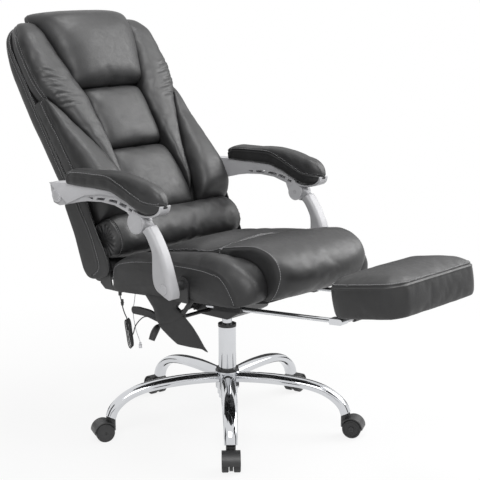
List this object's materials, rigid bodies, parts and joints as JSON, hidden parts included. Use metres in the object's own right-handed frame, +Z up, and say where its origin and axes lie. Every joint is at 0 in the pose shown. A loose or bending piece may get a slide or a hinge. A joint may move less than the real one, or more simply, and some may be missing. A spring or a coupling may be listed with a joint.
{
  "type": "reclining office chair",
  "caption": "Reclining office chair with linked armrests, a slide-out footrest, a lumbar roll and a chromed swivel base on twin-wheel casters",
  "frame": {"origin": "On the floor, on the axis of the gas column", "axes": "+Z up, the sitter faces -Y, +X is the sitter's left; +Y runs from the footrest to the top of the backrest"},
  "size_m": [0.7262, 1.3152, 1.1099],
  "materials": {
    "chrome": "polished",
    "silver_paint": "satin",
    "black_steel": "satin",
    "bare_steel": "satin",
    "black_plastic": "matte",
    "black_leather": "satin",
    "plywood": "matte",
    "black_lead": "matte",
    "pale_lead": "matte"
  },
  "bodies": {
    "base": {"base_hub": "chrome", "base_legs": "chrome", "hub_ring": "black_plastic", "column_tube": "chrome", "column_bush": "black_plastic", "column_bearing": "bare_steel"},
    "caster_1": {"caster_hood_1": "black_plastic"},
    "wheels_1": {"caster_wheels_1": "black_plastic"},
    "caster_2": {"caster_hood_2": "black_plastic"},
    "wheels_2": {"caster_wheels_2": "black_plastic"},
    "caster_3": {"caster_hood_3": "black_plastic"},
    "wheels_3": {"caster_wheels_3": "black_plastic"},
    "caster_4": {"caster_hood_4": "black_plastic"},
    "wheels_4": {"caster_wheels_4": "black_plastic"},
    "caster_5": {"caster_hood_5": "black_plastic"},
    "wheels_5": {"caster_wheels_5": "black_plastic"},
    "lift_rod": {"lift_rod": "bare_steel"},
    "seat": {"lift_cylinder": "chrome", "tilt_housing": "black_steel", "seat_board": "plywood", "seat_middle_pad": "black_leather", "seat_bolster_right": "black_leather", "seat_bolster_left": "black_leather", "hinge_yoke": "black_steel", "footrest_guides": "black_steel", "post_pivots": "black_steel", "remote_pouch": "black_leather", "lead_fittings": "black_plastic", "lead_upper": "black_lead", "lead_lower": "black_lead", "lead_hank": "black_lead", "lead_return": "black_lead", "power_lead": "pale_lead", "power_plug": "pale_lead"},
    "recline_lever": {"recline_lever": "black_plastic"},
    "height_lever": {"height_lever": "black_plastic"},
    "back": {"back_board": "plywood", "back_boxing": "black_leather", "head_pillow": "black_leather", "back_middle_pad": "black_leather", "back_lower_pad": "black_leather", "back_bolster_right": "black_leather", "back_bolster_left": "black_leather", "back_wing_right": "black_leather", "back_wing_left": "black_leather", "lumbar_roll": "black_leather", "hinge_plates": "black_steel", "arm_brackets": "black_steel"},
    "post_right": {"arm_post_right": "silver_paint"},
    "arm_right": {"arm_beam_right": "silver_paint", "arm_pad_right": "black_leather", "arm_disc_right": "silver_paint"},
    "post_left": {"arm_post_left": "silver_paint"},
    "arm_left": {"arm_beam_left": "silver_paint", "arm_pad_left": "black_leather", "arm_disc_left": "silver_paint"},
    "footrest_carriage": {"footrest_rods": "black_steel", "footrest_crossbar": "bare_steel"},
    "footrest": {"footrest_board": "black_plastic", "footrest_pad": "black_leather"}
  },
  "joints": [
    {"name": "caster_1_swivel", "type": "hinge", "parent": "base", "child": "caster_1", "pos_m": [0.14466, -0.2966, 0.067], "axis": [0, 0, 1], "continuous": true},
    {"name": "wheels_1_spin", "type": "hinge", "parent": "caster_1", "child": "wheels_1", "pos_m": [0.15343, -0.31458, 0.025], "axis": [0.8988, 0.4384, 0], "continuous": true},
    {"name": "caster_2_swivel", "type": "hinge", "parent": "base", "child": "caster_2", "pos_m": [0.32679, 0.04593, 0.067], "axis": [0, 0, 1], "continuous": true},
    {"name": "wheels_2_spin", "type": "hinge", "parent": "caster_2", "child": "wheels_2", "pos_m": [0.34659, 0.04871, 0.025], "axis": [-0.1392, 0.9903, 0], "continuous": true},
    {"name": "caster_3_swivel", "type": "hinge", "parent": "base", "child": "caster_3", "pos_m": [0.0573, 0.32499, 0.067], "axis": [0, 0, 1], "continuous": true},
    {"name": "wheels_3_spin", "type": "hinge", "parent": "caster_3", "child": "wheels_3", "pos_m": [0.06078, 0.34468, 0.025], "axis": [-0.9848, 0.1736, 0], "continuous": true},
    {"name": "caster_4_swivel", "type": "hinge", "parent": "base", "child": "caster_4", "pos_m": [-0.29137, 0.15493, 0.067], "axis": [0, 0, 1], "continuous": true},
    {"name": "wheels_4_spin", "type": "hinge", "parent": "caster_4", "child": "wheels_4", "pos_m": [-0.30903, 0.16431, 0.025], "axis": [-0.4695, -0.8829, 0], "continuous": true},
    {"name": "caster_5_swivel", "type": "hinge", "parent": "base", "child": "caster_5", "pos_m": [-0.23738, -0.22924, 0.067], "axis": [0, 0, 1], "continuous": true},
    {"name": "wheels_5_spin", "type": "hinge", "parent": "caster_5", "child": "wheels_5", "pos_m": [-0.25177, -0.24313, 0.025], "axis": [0.6947, -0.7193, 0], "continuous": true},
    {"name": "seat_swivel", "type": "hinge", "parent": "base", "child": "lift_rod", "pos_m": [0, 0, 0.09], "axis": [0, 0, 1], "continuous": true},
    {"name": "seat_height", "type": "slide", "parent": "lift_rod", "child": "seat", "axis": [0, 0, 1], "range_m": [-0.025, 0.065]},
    {"name": "recline", "type": "hinge", "parent": "seat", "child": "back", "pos_m": [0, 0.209, 0.493], "axis": [-1, 0, 0], "range_deg": [-18, 14]},
    {"name": "recline_paddle", "type": "hinge", "parent": "seat", "child": "recline_lever", "pos_m": [-0.15, 0.008, 0.337], "axis": [1, 0, 0], "range_deg": [0, 12], "stiffness_Nm_per_rad": 0.6, "springref_deg": -11.46},
    {"name": "height_paddle", "type": "hinge", "parent": "seat", "child": "height_lever", "pos_m": [-0.0706, 0.0589, 0.34], "axis": [0, 1, 0], "range_deg": [0, 5], "stiffness_Nm_per_rad": 1, "springref_deg": -11.46},
    {"name": "post_right_pivot", "type": "hinge", "parent": "seat", "child": "post_right", "pos_m": [-0.31, -0.09, 0.456], "axis": [-1, 0, 0], "range_deg": [-18, 14]},
    {"name": "arm_right_pivot", "type": "hinge", "parent": "back", "child": "arm_right", "pos_m": [-0.31, 0.304, 0.648], "axis": [-1, 0, 0], "range_deg": [-14, 18]},
    {"name": "post_left_pivot", "type": "hinge", "parent": "seat", "child": "post_left", "pos_m": [0.31, -0.09, 0.456], "axis": [-1, 0, 0], "range_deg": [-18, 14]},
    {"name": "arm_left_pivot", "type": "hinge", "parent": "back", "child": "arm_left", "pos_m": [0.31, 0.304, 0.648], "axis": [-1, 0, 0], "range_deg": [-14, 18]},
    {"name": "footrest_slide", "type": "slide", "parent": "seat", "child": "footrest_carriage", "axis": [0, 0.9971, -0.0767], "range_m": [0, 0.1]},
    {"name": "footrest_flip", "type": "hinge", "parent": "footrest_carriage", "child": "footrest", "pos_m": [0, -0.507, 0.413], "axis": [1, 0, 0], "range_deg": [0, 180]}
  ],
  "couplings": [
    {"joint": "post_right_pivot", "follows": "recline", "ratio": 1},
    {"joint": "arm_right_pivot", "follows": "recline", "ratio": -1},
    {"joint": "post_left_pivot", "follows": "recline", "ratio": 1},
    {"joint": "arm_left_pivot", "follows": "recline", "ratio": -1}
  ]
}
